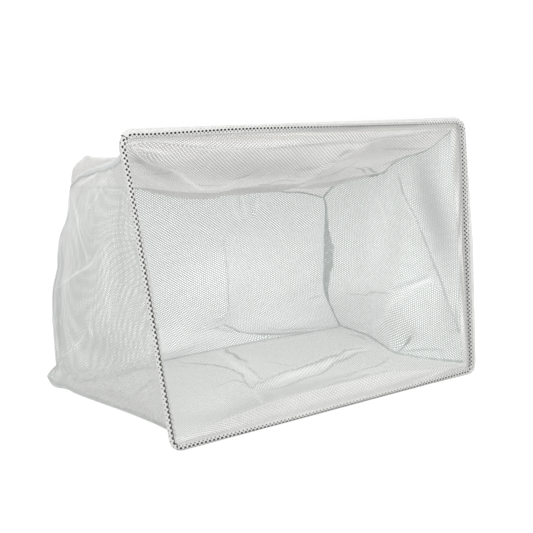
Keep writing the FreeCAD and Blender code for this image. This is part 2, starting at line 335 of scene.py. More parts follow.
def smoothLine(points, count, density=20):
    # an evenly spaced walk along a smooth curve through the points
    p = np.array(points, float)
    p = np.vstack([2 * p[0] - p[1], p, 2 * p[-1] - p[-2]])
    t = np.linspace(0, 1, density, endpoint=False)[:, None]
    runs = []
    for a, b, c, d in zip(p, p[1:], p[2:], p[3:]):
        square, cube = 2 * a - 5 * b + 4 * c - d, 3 * b - a - 3 * c + d
        runs.append(b + 0.5 * ((c - a) * t + square * t**2 + cube * t**3))
    walk = np.vstack(runs + [p[-2:-1]])
    length = np.concatenate([[0], np.cumsum(np.linalg.norm(np.diff(walk, axis=0), axis=1))])
    even = np.linspace(0, length[-1], count)
    return np.stack([np.interp(even, length, walk[:, k]) for k in range(walk.shape[1])], axis=1)


def stretched(low, high, first, last):
    # the skin between four edges: low and high run across, first and last run along
    across = np.linspace(0, 1, len(low))[None, :, None]
    along = np.linspace(0, 1, len(first))[:, None, None]
    ruled = low[None] * (1 - along) + high[None] * along
    crossed = first[:, None] * (1 - across) + last[:, None] * across
    front = low[0] * (1 - across) + low[-1] * across
    rear = high[0] * (1 - across) + high[-1] * across
    return ruled + crossed - front * (1 - along) - rear * along


def squareTo(grid):
    # the direction square to a skin at each of its points
    normal = np.cross(np.gradient(grid, axis=1), np.gradient(grid, axis=0))
    return normal / np.linalg.norm(normal, axis=2, keepdims=True)


def unitOf(vectors):
    return vectors / np.linalg.norm(vectors, axis=-1, keepdims=True)


def shares(grid):
    rows, columns = grid.shape[:2]
    return np.meshgrid(np.linspace(0, 1, columns), np.linspace(0, 1, rows))


def finer(grid):
    # twice as many points each way, on the same smooth sheet
    for _ in range(2):
        padded = np.concatenate([2 * grid[:1] - grid[1:2], grid, 2 * grid[-1:] - grid[-2:-1]])
        between = (9 * (padded[1:-2] + padded[2:-1]) - padded[:-3] - padded[3:]) / 16
        full = np.empty((2 * len(grid) - 1,) + grid.shape[1:])
        full[::2], full[1::2] = grid, between
        grid = full.transpose(1, 0, 2)
    return grid


creases = {"flat": 0.03, "sharp": 0.16, "closing": 0.2, "fade": 0.15, "reach": 2.2}


def bend(grid):
    # how sharply a sheet is bent at each of its points, from 0 to 1
    mean = np.zeros_like(grid)
    mean[1:-1] += (grid[:-2] + grid[2:] - 2 * grid[1:-1]) / 2
    mean[:, 1:-1] += (grid[:, :-2] + grid[:, 2:] - 2 * grid[:, 1:-1]) / 2
    sharp = np.abs((mean * squareTo(grid)).sum(axis=2)) / cell
    sharp[[0, -1]], sharp[:, [0, -1]] = 0, 0
    return np.clip((sharp - creases["flat"]) / creases["sharp"], 0, 1)


def inShares(line):
    # a line on the cloth with its hundredths across and along made shares of the panel
    return [(across / 100, along / 100, *place) for across, along, *place in line]


def felt(grid, lines, samples=200):
    # how strongly each point feels the lines that run near it, as a closing of the weave and as painted light and
    # shade
    rows, columns = grid.shape[:2]
    step = cell / 2
    closed, paintedShadings = np.zeros((rows, columns)), np.zeros((rows, columns))
    for wide, closing, paintedShading, line in lines:
        dense = smoothLine([place[:2] for place in inShares(line)], samples)
        fade = np.sin(np.linspace(creases["fade"], math.pi - creases["fade"], samples)) ** 0.5
        reach = int(creases["reach"] * wide / step) + 2
        near = np.zeros((rows, columns))
        for share, (across, along) in zip(fade, dense):
            column, row = across * (columns - 1), along * (rows - 1)
            top, left = max(int(row) - reach, 0), max(int(column) - reach, 0)
            bottom, right = min(int(row) + reach, rows), min(int(column) + reach, columns)
            y, x = np.mgrid[top:bottom, left:right]
            value = share * np.exp(-((y - row) ** 2 + (x - column) ** 2) * (step / wide) ** 2)
            near[top:bottom, left:right] = np.maximum(near[top:bottom, left:right], value)
        closed += closing * near
        paintedShadings += paintedShading * near
    return closed, paintedShadings


def weaveOf(grid):
    # where each point of a sheet lies on its flat cloth, in millimetres
    across, along = np.zeros(grid.shape[:2]), np.zeros(grid.shape[:2])
    across[:, 1:] = np.cumsum(np.linalg.norm(np.diff(grid, axis=1), axis=2), axis=1)
    along[1:] = np.cumsum(np.linalg.norm(np.diff(grid, axis=0), axis=2), axis=0)
    across -= across[:, -1:] / 2
    return np.stack([across, along], axis=-1)


def cellFaces(index):
    # the four-sided faces between rows of point numbers
    return np.stack([index[:-1, :-1], index[:-1, 1:], index[1:, 1:], index[1:, :-1]], axis=-1).reshape(-1, 4)


def gridPiece(name, grid, material, weave, closed, paintedShadings, warm=0.3):
    # a sheet of net from rows of points
    rows, columns = grid.shape[:2]
    u, v = shares(grid)
    faces = cellFaces(np.arange(rows * columns).reshape(rows, columns))
    mesh = bpy.data.meshes.new(name)
    mesh.from_pydata(inRow(grid.reshape(-1, 3)).tolist(), [], faces.tolist())
    corner = np.empty(len(mesh.loops), dtype=np.int32)
    mesh.loops.foreach_get("vertex_index", corner)
    margin = 0.01
    laid = {"weave": weave / 1000, "OFBake": np.stack([u, v], axis=-1) * (1 - 2 * margin) + margin}
    for layer, flat in laid.items():
        uv = mesh.uv_layers.new(name=layer)
        uv.data.foreach_set("uv", flat.reshape(-1, 2)[corner].ravel())
    for attribute, values in (("closed", closed), ("paintedShading", paintedShadings), ("warm", warm)):
        mesh.attributes.new(attribute, "FLOAT", "POINT").data.foreach_set("value", (u * 0 + values).ravel())
    mesh.polygons.foreach_set("use_smooth", [True] * len(mesh.polygons))
    mesh.materials.append(material)
    piece = bpy.data.objects.new(name, mesh)
    bpy.context.scene.collection.objects.link(piece)
    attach(piece, "root")
    return piece


# Seam lines of the bag, and the stitched lines of the hems

tips = {
    "top": [
        (-194, 61, 257.5), (-168, 62.5, 259), (-139, 61, 255.5), (-80, 57, 249.6), (-11, 57.5, 250.3),
        (64, 59.5, 252), (140, 61.5, 254.5), (178, 62, 256.5), (212, 61, 257),
    ],
    "bottom": [
        (-176, 18, 4), (-148, 22, 4.5), (-100, 20, 11), (-55, 18, 16), (5, 19, 16), (80, 18, 15), (140, 21, 9),
        (177, 23, 4.5), (199, 20, 4),
    ],
    "left": [
        (-176, 18, 4), (-180, 27, 60), (-184, 36, 120), (-185.7, 41, 153.7), (-190.5, 51, 207.5), (-194, 61, 257.5),
    ],
    "right": [(199, 20, 4), (200, 25, 30), (205.8, 36.5, 102), (209, 45, 154), (208, 55, 225), (212, 61, 257)],
}
seams = {
    "topLeft": [(-194, 61, 257.5), (-191, 85, 244), (-180, 140, 233), (-174, 185, 222), (-167, 219, 207)],
    "topRight": [
        (212, 61, 257), (201, 85, 235), (196, 125, 222), (189, 142, 206), (186, 170, 200), (178, 205, 191),
        (168, 223, 171),
    ],
    "bottomLeft": [
        (-176, 18, 4), (-166, 52, 1), (-170, 104, 1), (-177, 150, 1), (-183, 191, 1), (-184, 214, 1), (-190, 226, 1),
        (-190, 238, 3), (-191, 242, 9),
    ],
    "bottomRight": [(199, 20, 4), (190, 56, 1), (175, 100, 1), (186, 132, 1), (203, 180, 1), (209, 235, 1)],
    "backTop": [
        (-167, 219, 207), (-130, 222, 204), (-88, 223, 200), (-40, 223, 192), (8, 223, 187), (40, 223, 189),
        (73, 224, 190), (113, 225, 181), (137, 225, 179), (168, 223, 171),
    ],
    "backBottom": [
        (-191, 242, 9), (-182, 230, 3), (-165, 224, 1), (-141, 230, 1), (-57, 241, 1), (37, 243, 1), (105, 241, 1),
        (160, 237, 1), (209, 235, 1),
    ],
    "backLeft": [
        (-191, 242, 9), (-188, 240, 15), (-184, 234, 22), (-185, 232, 31), (-187, 230, 62), (-188, 228, 82),
        (-187, 227, 104), (-182, 226, 125), (-181, 225, 141), (-178, 224, 158), (-170, 224, 175), (-167, 223, 195),
        (-167, 219, 207),
    ],
    "backRight": [
        (209, 235, 1), (186, 227, 31), (173, 225, 55), (172, 225, 90), (173, 225, 130), (173, 224, 157),
        (168, 223, 171),
    ],
}
cell = 3.0  # millimetres between the points of a sheet


def steps(length):
    return int(round(length / cell)) + 1


panels = {
    "top": {
        "size": (410, 200), "warm": 0.9, "cut": 0.85,
        "low": tips["top"], "high": seams["backTop"], "first": seams["topLeft"], "last": seams["topRight"],
    },
    "back": {
        "size": (405, 205), "warm": 0.05, "cut": 0.87,
        "low": seams["backBottom"], "high": seams["backTop"], "first": seams["backLeft"], "last": seams["backRight"],
    },
    "left": {
        "size": (225, 260), "warm": 0.6, "cut": 0.79,
        "low": seams["bottomLeft"], "high": seams["topLeft"], "first": tips["left"], "last": seams["backLeft"],
    },
    "right": {
        "size": (225, 260), "warm": 0.0, "cut": 0.76,
        "low": seams["bottomRight"], "high": seams["topRight"], "first": tips["right"], "last": seams["backRight"],
    },
    "bottom": {
        "size": (405, 228), "warm": 0.5, "cut": 0.90,
        "low": tips["bottom"], "high": seams["backBottom"], "first": seams["bottomLeft"], "last": seams["bottomRight"],
    },
}


def panelSkin(name):
    panel = panels[name]
    columns, rows = steps(panel["size"][0]), steps(panel["size"][1])
    return stretched(
        smoothLine(panel["low"], columns), smoothLine(panel["high"], columns),
        smoothLine(panel["first"], rows), smoothLine(panel["last"], rows),
    )


# Folds of the slack net. Each is half its width, how far its threads close up, the painted light
# and shade it puts on the net (lighter above nothing, darker below), and its line. A point of a line
# is a place in the cloth, in hundredths across and along the panel, and where that place hangs. A
# panel is drawn to its folds and hangs between them. Where a fold neither closes the net nor paints
# shading on it, its crease stands among the gathers below.
folds = {
    "top": [
        (3, 0.1, 0.2, [
            (2, 18, -188, 95, 243), (4, 45, -179, 140, 241), (4, 65, -174, 170, 241), (4, 82, -167, 198, 234),
            (3, 92, -166, 214, 226), (1, 98, -166, 221, 213),
        ]),
        (3, 0.2, 0.2, [(10, 35, -160, 125, 242), (11, 60, -150, 165, 238), (11, 80, -149, 197, 226)]),
        (1.6, 0, 0, [
            (2, 3, -184, 65, 253), (17, 22, -127, 91, 228), (32, 57, -63, 148, 197), (50, 93, 3, 209, 184),
            (39, 33, -38, 109, 210),
        ]),
        (1.4, 0, 0, [(1, 1, -190, 61, 257), (7, 6, -165, 67, 249), (15, 6, -134, 68, 245)]),
        (4, 0, 0, [(37, 31, -44, 105, 214), (40, 21, -35, 84, 218), (42, 15, -25, 76, 226)]),
        (4.5, 0, 0, [(50, 22, 8, 91, 218), (53, 21, 18, 86, 215), (60, 19, 44, 83, 218), (61, 16, 49, 79, 226)]),
        (4, 0, 0, [(64, 16, 58, 82, 230), (66, 12, 67, 70, 231), (69, 7, 83, 64, 239), (72, 6, 96, 65, 246)]),
        (2.5, 0, 0, [
            (69, 46, 79, 134, 208), (72, 38, 90, 120, 219), (71, 24, 86, 99, 228), (72, 10, 94, 77, 242),
            (80, 5, 126, 70, 250),
        ]),
        (2, 0, 0, [(77, 31, 109, 110, 221), (91, 49, 156, 135, 207), (97, 52, 179, 142, 206)]),
        (2, 0.2, -0.15, [(70, 95, 70, 217, 194), (68, 73, 68, 181, 198)]),
    ],
    "left": [
        (1.2, 0.2, 0.4, [
            (23, 98, -191, 95, 236), (47, 97, -183, 134, 227), (69, 96, -179, 171, 217), (93, 98, -172, 209, 208),
        ]),
        (2.2, 0, 0, [
            (92, 93, -174, 208, 199), (76, 83, -183, 184, 186), (66, 73, -188, 164, 166), (57, 64, -191, 147, 148),
        ]),
        (1.1, 0, 0, [
            (31, 72, -192, 102, 172), (45, 66, -192, 125, 156), (54, 62, -192, 141, 145), (72, 56, -193, 174, 127),
            (95, 50, -190, 216, 107),
        ]),
        (1.1, 0, 0, [
            (24, 98, -190, 98, 236), (38, 94, -187, 119, 223), (50, 90, -185, 138, 210), (56, 84, -186, 149, 195),
        ]),
        (1.6, 0, 0, [
            (59, 34, -192, 148, 78), (66, 30, -191, 162, 67), (79, 23, -190, 187, 49), (93, 15, -187, 216, 31),
        ]),
        (2.5, 0, 0, [
            (80, 5, -183, 193, 10), (66, 11, -181, 161, 23), (49, 16, -180, 125, 37), (28, 22, -178, 82, 53),
            (9, 26, -177, 45, 67),
        ]),
    ],
    "right": [
        (1, 0, 0, [
            (37, 93, 194, 117, 207), (31, 80, 190, 106, 183), (25, 66, 192, 87, 152), (17, 51, 193, 69, 121),
            (13, 38, 191, 56, 92), (6, 26, 194, 41, 68), (1, 14, 197, 24, 40),
        ]),
        (9, 0, 0, [
            (14, 37, 189, 59, 89), (23, 34, 180, 75, 78), (31, 30, 172, 89, 68), (39, 23, 168, 108, 52),
            (60, 9, 187, 148, 18),
        ]),
        (1.2, 0, 0, [(33, 33, 173, 93, 76), (45, 35, 176, 122, 73), (64, 32, 183, 156, 59), (83, 31, 183, 192, 54)]),
        (3, 0, 0, [(39, 3, 178, 102, 4), (33, 7, 187, 91, 14), (29, 11, 187, 85, 26)]),
    ],
    "back": [
        (1.2, 0, 0, [
            (59, 69, 28, 233, 127), (60, 54, 30, 230, 100), (62, 44, 34, 228, 79), (62, 33, 35, 229, 57),
            (60, 26, 30, 232, 44), (56, 23, 18, 236, 38),
        ]),
        (2.6, 0, 0, [(53, 14, 13, 242, 24), (59, 15, 34, 246, 26), (64, 9, 54, 246, 17), (73, 1, 95, 246, 5)]),
        (1.5, 0, 0, [(64, 90, 50, 224, 170), (67, 79, 56, 230, 151)]),
        (1.5, 0, 0, [(66, 96, 56, 222, 182), (70, 79, 66, 230, 150)]),
        (1.5, 0, 0, [(70, 94, 71, 223, 179), (71, 81, 72, 230, 154)]),
        (2, 0, 0, [(98, 41, 169, 229, 64), (94, 29, 157, 229, 47)]),
    ],
    "bottom": [
        (1.3, 0, 0, [
            (35, 26, -48, 76, 10), (38, 26, -39, 76, 16), (55, 33, 19, 93, 16), (76, 43, 94, 116, 13),
            (90, 55, 151, 137, 8), (97, 51, 175, 130, 1),
        ]),
        (1.2, 0, 0, [(50, 23, 8, 71, 11), (76, 36, 95, 99, 6), (92, 47, 152, 122, 2)]),
        (1.8, 0, 0, [
            (36, 86, -48, 210, 1), (41, 82, -27, 204, 4), (43, 70, -23, 173, 8), (41, 49, -31, 129, 11),
            (36, 29, -47, 82, 10),
        ]),
        (1.8, 0, 0, [(57, 95, 35, 234, 1), (53, 79, 19, 195, 7), (51, 61, 8, 155, 11), (41, 32, -30, 89, 12)]),
        (1.6, 0, 0, [
            (41, 7, -21, 33, 13), (50, 7, 10, 34, 16), (61, 11, 54, 42, 16), (82, 24, 121, 71, 8),
            (96, 34, 161, 93, 0),
        ]),
    ],
}
# Creases, and places where the net is gathered or taut. Each is half its width, how far the
# weave closes, the painted light and shade on it (lighter above nothing, darker below), and its line in hundredths
# across and along the panel.
gathers = {
    "top": [
        (26, 0.4, -0.55, [(18, 10), (40, 12), (60, 12)]),
        (20, 0.3, -0.45, [(68, 12), (90, 10)]),
        (28, 0.2, -0.3, [(32, 52), (60, 52), (88, 42)]),
        (16, 0.35, -0.45, [(4, 8), (12, 22), (20, 38)]),
        (12, -0.2, 0.5, [(3, 35), (6, 60), (6, 95)]),
        (1.4, 0, 0.9, [(1, 1), (7, 4), (12, 5)]),
        (1.4, 0, 0.9, [(2, 2), (5, 9), (10, 15), (16, 18)]),
        (2.4, -0.1, 0.7, [(16, 18), (19, 22), (23, 30), (27, 37), (30, 41), (34, 38), (35, 32)]),
        (1.3, 0.4, -0.5, [(25, 34), (29, 31), (33, 30)]),
        (1.5, 0.3, -0.3, [(16, 43), (16, 30), (16, 19)]),
        (4, 0.2, -0.35, [(3, 8), (6, 13), (11, 25)]),
        (2.4, 0.3, -0.5, [(33, 22), (35, 20), (37, 16)]),
        (1.3, 0.4, -0.6, [(44, 32), (47, 32), (50, 28), (56, 30)]),
        (2, 0.2, -0.35, [(50, 15), (53, 14), (57, 13)]),
        (1.2, 0.2, 0.5, [(41, 16), (45, 15), (49, 17), (55, 18)]),
        (1.2, 0.2, 0.7, [(15, 1), (25, 1), (36, 1)]),
        (1.2, 0.3, -0.5, [(37, 1), (55, 1), (74, 2), (93, 1)]),
        (1.3, 0.5, -0.9, [(78, 34), (85, 39), (91, 49)]),
        (1.3, 0.5, -0.9, [(83, 33), (87, 38), (92, 46), (97, 51)]),
        (1.2, 0.3, -0.5, [(72, 50), (76, 42), (77, 33), (76, 22)]),
        (2.8, 0.4, -0.6, [(63, 10), (64, 7), (66, 6)]),
        (1.2, 0.2, 0.6, [(68, 6), (70, 14), (68, 19), (61, 16)]),
        (1.3, 0.3, -0.5, [(81, 12), (85, 11), (92, 14), (99, 15)]),
    ],
    "left": [
        (34, 0.25, -0.45, [(50, 78), (62, 55), (70, 35)]),
        (22, 0.25, -0.4, [(92, 90), (92, 50), (90, 15)]),
        (20, 0.2, -0.4, [(30, 32), (62, 28)]),
        (8, -0.1, 0.4, [(20, 95), (45, 92), (60, 90)]),
        (1.3, -0.3, 1, [(46, 97), (62, 96), (81, 95)]),
        (2, -0.2, 0.7, [(90, 94), (75, 85), (64, 73), (54, 64)]),
        (1.3, -0.3, 0.8, [(20, 97), (33, 93), (45, 88), (59, 82)]),
        (1.3, -0.4, 1, [(34, 70), (42, 67), (51, 61), (69, 56), (90, 50)]),
        (1.6, 0.2, -0.25, [(29, 73), (39, 69), (49, 65)]),
        (6, -0.6, 0.4, [(33, 68), (37, 63), (38, 55)]),
        (3.5, -0.6, 0.4, [(37, 53), (36, 47), (37, 41)]),
        (3, -0.5, 0.6, [(54, 36), (53, 33)]),
        (1.3, -0.3, 0.8, [(55, 36), (69, 27), (85, 20)]),
        (4, -0.3, 0.3, [(61, 30), (71, 26), (80, 21)]),
        (1.9, 0.3, -0.5, [(8, 24), (25, 22), (41, 17), (55, 13)]),
        (2.5, 0.2, -0.3, [(55, 13), (72, 10), (87, 5)]),
        (1.5, 0.2, -0.4, [(13, 19), (21, 17), (34, 10)]),
        (7, 0.15, -0.3, [(75, 89), (77, 79), (83, 69), (90, 59), (89, 45), (90, 20)]),
        (8, 0.15, -0.25, [(16, 89), (20, 72), (26, 53), (27, 41)]),
        (6, 0.2, -0.3, [(79, 3), (60, 5), (42, 6), (26, 4)]),
    ],
    "right": [
        (20, 0.4, -0.8, [(20, 92), (12, 62), (6, 42)]),
        (14, 0.15, -0.35, [(6, 38), (5, 25), (5, 12)]),
        (20, -0.1, 0.1, [(60, 85), (60, 50)]),
        (1.2, 0.6, -0.7, [(39, 92), (35, 84), (28, 72), (22, 60), (14, 45), (6, 28), (2, 14)]),
        (4, -0.05, 0.3, [(34, 80), (30, 73), (27, 65)]),
        (2.5, 0, 0.4, [(63, 90), (56, 84), (53, 77), (52, 69)]),
        (1.2, 0.3, -0.35, [(83, 31), (67, 32), (58, 34), (40, 32)]),
        (3, 0, 0.7, [(15, 39), (21, 38), (28, 36)]),
        (6, 0, 0.4, [(30, 34), (36, 28), (44, 18), (62, 10)]),
        (3, 0.2, -0.3, [(18, 41), (28, 38), (37, 35)]),
        (1.6, -0.1, 0.9, [(97, 2), (85, 2), (73, 4)]),
        (2, 0.6, -0.9, [(37, 1), (35, 5), (31, 10)]),
        (1.4, 0.3, -0.5, [(35, 2), (18, 5), (11, 5)]),
        (1.2, 0.3, -0.4, [(2, 26), (2, 14)]),
    ],
    "back": [
        (26, -0.15, 0.15, [(15, 14), (50, 12), (85, 15)]),
        (34, -0.1, 0.12, [(42, 55), (60, 50), (85, 55)]),
        (1.3, 0.3, -0.35, [(59, 71), (61, 45), (61, 32), (60, 25), (56, 21)]),
        (1.2, -0.1, 0.6, [(63, 99), (64, 92), (68, 79)]),
        (1.2, -0.1, 0.4, [(59, 95), (61, 87), (64, 81)]),
        (1.2, -0.1, 0.4, [(70, 98), (70, 91), (71, 80)]),
        (1, 0.2, -0.3, [(62, 95), (63, 87)]),
        (1, 0.2, -0.3, [(67, 93), (69, 83)]),
        (1.4, 0.6, -0.9, [(59, 17), (63, 13), (66, 8), (71, 4), (81, 2), (87, 1)]),
        (1.4, 0.3, -0.4, [(53, 17), (57, 14), (63, 8)]),
        (1.2, 0.3, -0.35, [(74, 10), (79, 7), (88, 4), (96, 1)]),
        (1.2, 0.2, -0.3, [(92, 28), (99, 31)]),
    ],
    "bottom": [
        (22, 0.3, -0.4, [(10, 15), (45, 10), (60, 5)]),
        (1.3, 0.6, -0.9, [(37, 24), (49, 29), (60, 33), (68, 37), (78, 42), (83, 47), (91, 52)]),
        (3.4, 0, 0.6, [(39, 21), (45, 23), (53, 28), (61, 31)]),
        (2.4, 0, 0.6, [(62, 31), (73, 37)]),
        (1.8, 0, 0.7, [(77, 41), (88, 49), (95, 50)]),
        (1.2, 0.5, -0.8, [(35, 18), (43, 17), (52, 22), (60, 25), (70, 34), (80, 40), (87, 46), (94, 49)]),
        (1.2, 0.4, -0.7, [(53, 8), (59, 8), (67, 13), (81, 21), (96, 36)]),
        (2.5, 0.3, -0.3, [(21, 1), (40, 1), (60, 3), (76, 7), (90, 4)]),
        (1.3, 0.6, -0.9, [(40, 93), (39, 85), (42, 68), (41, 45), (39, 39), (35, 27), (38, 24)]),
        (1.8, 0.6, -0.9, [(57, 97), (54, 89), (51, 74), (49, 60)]),
        (1.2, 0.4, -0.6, [(47, 56), (44, 42), (40, 26)]),
        (4.5, 0, 0.5, [(53, 95), (46, 63), (43, 46), (40, 33)]),
        (1.2, 0.4, -0.6, [(54, 57), (57, 51), (58, 38), (60, 33)]),
        (1.2, 0.3, -0.35, [(35, 91), (37, 82)]),
        (1.2, 0.4, -0.5, [(33, 47), (37, 42), (37, 31)]),
        (2.4, 0, 0.5, [(33, 23), (30, 15), (28, 6)]),
        (1.2, 0, 0.8, [(56, 92), (65, 95), (76, 93), (92, 93)]),
        (3, 0.3, -0.4, [(96, 84), (98, 78), (98, 70)]),
    ],
}
slack = {"top": (0, 0, -16), "back": (0, 8, 0), "left": (-10, 0, 0), "right": (9, 0, 0), "bottom": (0, 0, 3)}
wrinkles = {"seed": 7, "waves": 12, "slow": 3, "fast": 12, "high": 0.25, "floorGap": 0.3}
cloth = {
    "frames": 20, "extra": 0.016, "pull": 0.10, "farthest": 12.0, "quality": 6, "mass": 0.3,
    "tension": 20, "shear": 5, "bending": 0.7, "unit": 100,  # the unit is in millimetres
}
calm = {"top": 8, "back": 8, "left": 40, "right": 8, "bottom": 6}  # rounds of evening out after the fall


def aroundEach(grid):
    # the mean of the four neighbours of each inner point
    return (grid[:-2, 1:-1] + grid[2:, 1:-1] + grid[1:-1, :-2] + grid[1:-1, 2:]) / 4


def settled(grid, lines, rounds=420, samples=400):
    # draws a sheet to its fold lines, so that it hangs straight between them
    rows, columns = grid.shape[:2]
    nearest = np.full((rows, columns), np.inf)
    shift = np.zeros_like(grid)
    for wide, closing, paintedShading, line in lines:
        for across, along, *place in smoothLine(inShares(line), samples):
            column, row = across * (columns - 1), along * (rows - 1)
            spot = (min(max(round(row), 1), rows - 2), min(max(round(column), 1), columns - 2))
            miss = math.hypot(row - spot[0], column - spot[1])
            if miss < nearest[spot]:
                nearest[spot] = miss
                shift[spot] = place - grid[spot]
    held = np.isfinite(nearest)
    free = ~held[1:-1, 1:-1, None]
    for _ in range(rounds):
        shift[1:-1, 1:-1] = np.where(free, aroundEach(shift), shift[1:-1, 1:-1])
    held[[0, -1]], held[:, [0, -1]] = True, True
    return grid + shift, held


def ripple(u, v):
    # a smooth uneven field from a few seeded waves, slow to fast ones across the sheet
    dice = np.random.default_rng(wrinkles["seed"])
    field = np.zeros_like(u)
    for _ in range(wrinkles["waves"]):
        turn, pace = dice.uniform(0, math.pi), dice.uniform(wrinkles["slow"], wrinkles["fast"])
        phase = dice.uniform(0, 2 * math.pi)
        field += np.sin(2 * math.pi * pace * (u * math.cos(turn) + v * math.sin(turn)) + phase)
    return field / math.sqrt(wrinkles["waves"])


def hungCloth(skins):
    # one cloth simulation of all the panels, held at their seams and fold lines
    points, faces, grips, start = [], [], [], 0
    for grid, held in skins.values():
        index = start + np.arange(held.size).reshape(held.shape)
        faces.append(cellFaces(index))
        points.append(grid.reshape(-1, 3))
        grips.append(index[held])
        start += held.size
    before = np.vstack(points)
    mesh = bpy.data.meshes.new("hungCloth")
    # worked ten times its size, because the solver is steadier there
    mesh.from_pydata((before / cloth["unit"]).tolist(), [], np.vstack(faces).tolist())
    piece = bpy.data.objects.new("hungCloth", mesh)
    scene.collection.objects.link(piece)
    group = piece.vertex_groups.new(name="held")
    group.add(np.concatenate(grips).tolist(), 1.0, "REPLACE")
    modifier = piece.modifiers.new("cloth", "CLOTH")
    settings = modifier.settings
    settings.quality = cloth["quality"]
    settings.mass = cloth["mass"]
    settings.tension_stiffness = settings.compression_stiffness = cloth["tension"]
    settings.shear_stiffness = cloth["shear"]
    settings.bending_stiffness = cloth["bending"]
    settings.vertex_group_mass = "held"
    settings.shrink_min = settings.shrink_max = -cloth["extra"]
    settings.effector_weights.gravity = cloth["pull"]
    modifier.collision_settings.use_collision = False
    modifier.point_cache.frame_start, modifier.point_cache.frame_end = 1, cloth["frames"]
    for number in range(1, cloth["frames"] + 1):
        scene.frame_set(number)
    result = piece.evaluated_get(bpy.context.evaluated_depsgraph_get()).to_mesh()
    after = np.empty(start * 3)
    result.vertices.foreach_get("co", after)
    shift = after.reshape(-1, 3) * cloth["unit"] - before
    reach = np.linalg.norm(shift, axis=1, keepdims=True)
    shift *= np.minimum(1, cloth["farthest"] / np.maximum(reach, 1e-6))
    bpy.data.objects.remove(piece)
    scene.frame_set(1)
    print("cloth hung, moved by", round(float(reach.mean()), 2), "mm, at most", round(float(reach.max()), 1))
    hung, start = {}, 0
    for name, (grid, held) in skins.items():
        moved = shift[start:start + held.size].reshape(grid.shape)
        for _ in range(calm[name]):
            moved[1:-1, 1:-1] = aroundEach(moved)
        hung[name] = grid + moved
        start += held.size
    return hung


def makeBag():
    skins, flats = {}, {}
    for name in panels:
        grid = panelSkin(name)
        flats[name] = finer(weaveOf(grid))
        u, v = shares(grid)
        grid = grid + np.array(slack[name], float) * (np.sin(math.pi * u) * np.sin(math.pi * v))[..., None]
        grid, held = settled(grid, folds[name])
        grid = grid + squareTo(grid) * (ripple(u, v) * wrinkles["high"] * ~held)[..., None]
        skins[name] = (grid, held)
    hung = hungCloth(skins)
    for name, grid in hung.items():
        grid = finer(grid)
        closed, paintedShadings = felt(grid, folds[name] + gathers[name])
        closed, paintedShadings = np.clip(closed + bend(grid) * creases["closing"], -1, 1), np.clip(paintedShadings, -1, 1)
        grid[..., 2] = np.maximum(grid[..., 2], wrinkles["floorGap"])
        piece = gridPiece(name + "Net", grid, openNet, flats[name], closed, paintedShadings, panels[name]["warm"])
        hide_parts("net_" + name)
        flat = [length / 1000 for length in panels[name]["size"]]
        held = "laid" if name == "bottom" else "hung"
        flat[0] * flat[1] * panels[name]["cut"]
    print("bag made")
    return hung


hungBag = makeBag()


# Hems round the rod

# The net lies snug on the rod towards the mouth and stands loose outside it. The loose part
# is given from the bar's lower or left end to the other, and so is where a row of holes runs,
# from the middle of the bar's face. "rows" is how far five rows of holes round the bar are
# closed up, at its start, middle and end; below nothing the holes are stretched open. "strip"
# and "near" are the painted light and shade on the doubled strip behind the bar, and on its part
# by the sleeve. The loose part is painted lighter, up to loosePaintedLight, as painted light.
# A "lead" is a share of the way from the rod to the tips, and how far the net stands off there.
hemShape = {
    "snug": 2.55, "bend": 10.0, "span": 400, "lead": [(1.0, 0.45), (0.72, 0.45), (0.5, 0.8), (0.3, 1.5)],
    "firstTurn": 50, "lastTurn": 310, "turnStep": 10, "looseFall": 1.5, "floorGap": 0.05,
    "stripClosed": -0.32, "nearClosed": -0.1, "loosePaintedLight": 0.1, "looseFull": 2,
}
hems = {
    "top": {
        "loose": (3.1, 2.4, 1.6), "rowAt": (0.5, 2.4, 4.0), "period": 4.0, "strip": 0.1, "near": 0.5,
        "rows": ((0.8, 0.9, -0.76, 0.9, 0.6), (0.8, 0.5, -0.68, 0.7, 0.6), (0.4, 0.4, -0.64, 0.6, 0.6)),
    },
    "right": {
        "loose": (3.2, 6.4, 2.0), "rowAt": (-0.4, 0.1, 0.4), "period": 4.2, "strip": 0.2, "near": 0.4,
        "rows": ((0.6, -0.4, 0.0, 0.2, 0.9), (0.6, -0.4, 0.0, 0.2, 0.9), (0.6, -0.4, 0.3, -0.1, 0.9)),
    },
    "left": {
        "loose": (0.3, 0.35, 0.4, 0.5, 0.6, 2.2), "rowAt": (1.3, 1.3, 1.3, 0.9, -1.0), "period": 4.6,
        "strip": -0.05, "near": -0.05,
        "rows": ((0.6, 0.7, -0.8, 0.2, 0.6), (0.6, 0.5, -0.6, 0.2, 0.6), (0.5, 0.4, 0.1, -0.5, 0.6)),
    },
    "bottom": {
        "loose": (0.0, 0.0, 0.0, 0.0, 0.0, 0.3, 2.6), "rowAt": (-0.5, -0.6, -0.6), "period": 4.3,
        "strip": 0.05, "near": 0.2,
        "rows": ((0.8, 0.3, -0.72, 0.8, 0.8), (0.8, 0.3, -0.7, 0.8, 0.8), (0.6, 0.3, -0.68, 0.8, 0.8)),
    },
}
corners = {"bottomLeft": (-1, 0), "bottomRight": (1, 0), "topRight": (1, 1), "topLeft": (-1, 1)}
bars = {
    "bottom": ("bottomLeft", "bottomRight"), "right": ("bottomRight", "topRight"),
    "top": ("topLeft", "topRight"), "left": ("bottomLeft", "topLeft"),
}


def leaned(points):
    # from the frame's own plane to the room
    tilt = math.radians(rodShape["lean"])
    p = np.asarray(points, float)
    y = p[..., 1] * math.cos(tilt) + p[..., 2] * math.sin(tilt)
    z = p[..., 2] * math.cos(tilt) - p[..., 1] * math.sin(tilt) + rodShape["height"]
    return np.stack([p[..., 0], y, z], axis=-1)


def cornerAt(name):
    side, upper = corners[name]
    half = (rodShape["head"] if upper else rodShape["foot"]) / 2
    return np.array([side * half, 0, upper * rodShape["slant"]])


